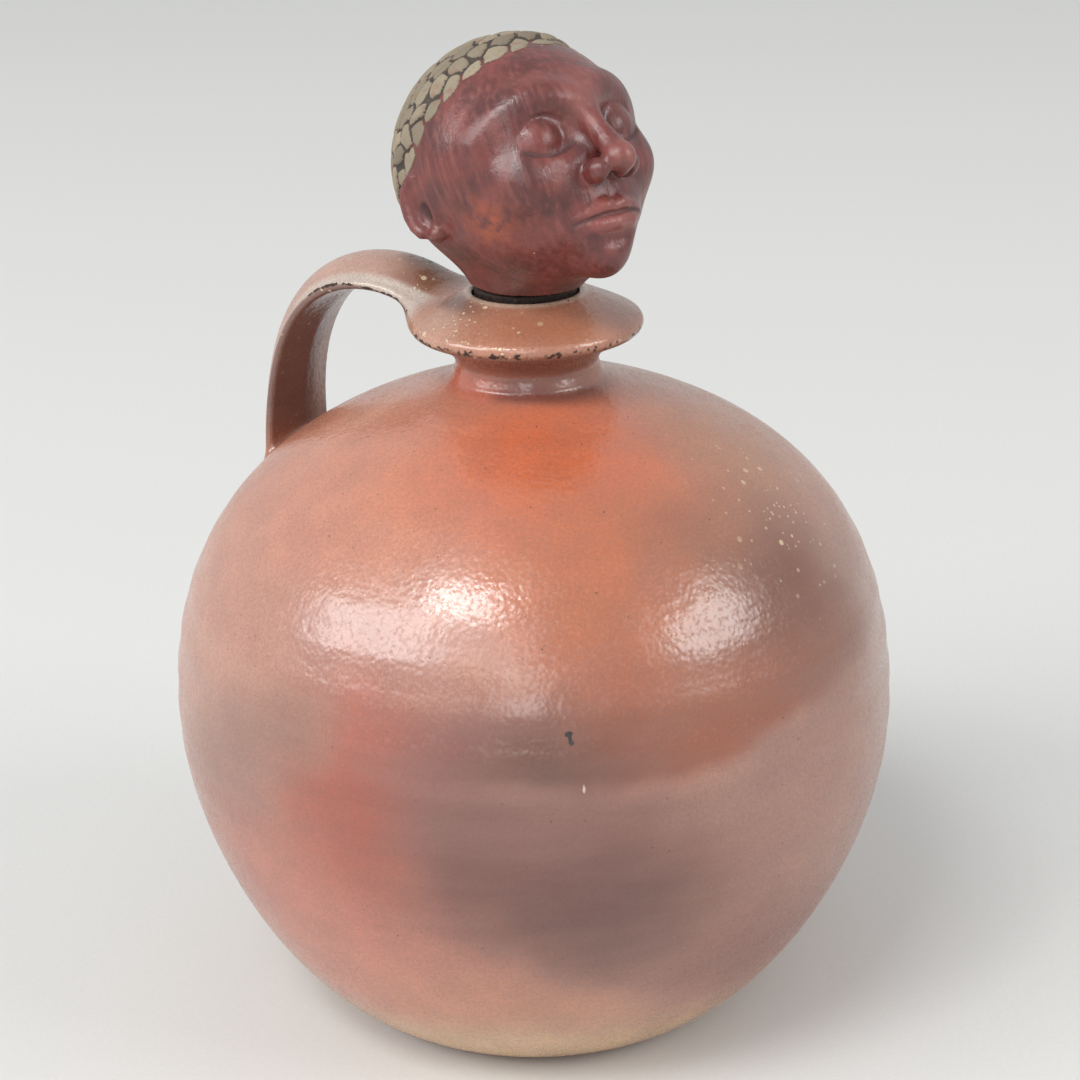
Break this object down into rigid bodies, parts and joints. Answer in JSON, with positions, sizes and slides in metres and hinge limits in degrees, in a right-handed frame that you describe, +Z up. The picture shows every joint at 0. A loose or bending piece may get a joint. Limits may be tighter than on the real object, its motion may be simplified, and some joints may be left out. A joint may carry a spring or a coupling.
{
  "type": "stoneware decanter",
  "caption": "Round salt-glazed stoneware jug with a flanged rim, a strap handle and a lift-out cork stopper whose grip is a modelled head.",
  "frame": {"origin": "middle of the flat foot, on the surface that the jug stands on", "axes": "+Z up along the jug's axis, +Y towards the handle, -Y the side that the face looks out over, turned 17 degrees towards -X"},
  "size_m": [0.2, 0.2, 0.2752],
  "materials": {
    "salt_glaze": "semi-gloss salt glaze with orange-peel grain, flashed orange, pink, brown and mauve",
    "rim_glaze": "glossy brown salt glaze with pale specks and dark worn edges",
    "handle_glaze": "semi-gloss pinkish brown salt glaze, pale and speckled along its edges",
    "cork": "dark stained cork",
    "stem_clay": "bare fired clay",
    "skin_slip": "matte brushed red-brown slip",
    "lip_slip": "satin rose-brown slip",
    "hair_slip": "matte grey-green slip over dark lines"
  },
  "bodies": {
    "jug": {"jug_body": "salt_glaze", "neck_rim": "rim_glaze", "handle": "handle_glaze"},
    "cork": {"cork_sleeve": "cork"},
    "stopper": {"stopper_stem": "stem_clay", "stopper_head": "skin_slip", "hair_cap": "hair_slip", "ear_left": "skin_slip", "ear_right": "skin_slip", "nose": "skin_slip", "upper_lip": "lip_slip", "lower_lip": "lip_slip", "eyelid_left": "skin_slip", "eyelid_right": "skin_slip"}
  },
  "joints": [
    {"name": "stopper_lift", "type": "slide", "parent": "jug", "child": "cork", "axis": [0, 0, 1], "range_m": [0, 0.05]},
    {"name": "stopper_twist", "type": "hinge", "parent": "cork", "child": "stopper", "pos_m": [0, 0, 0.2077], "axis": [0, 0, 1], "continuous": true}
  ]
}
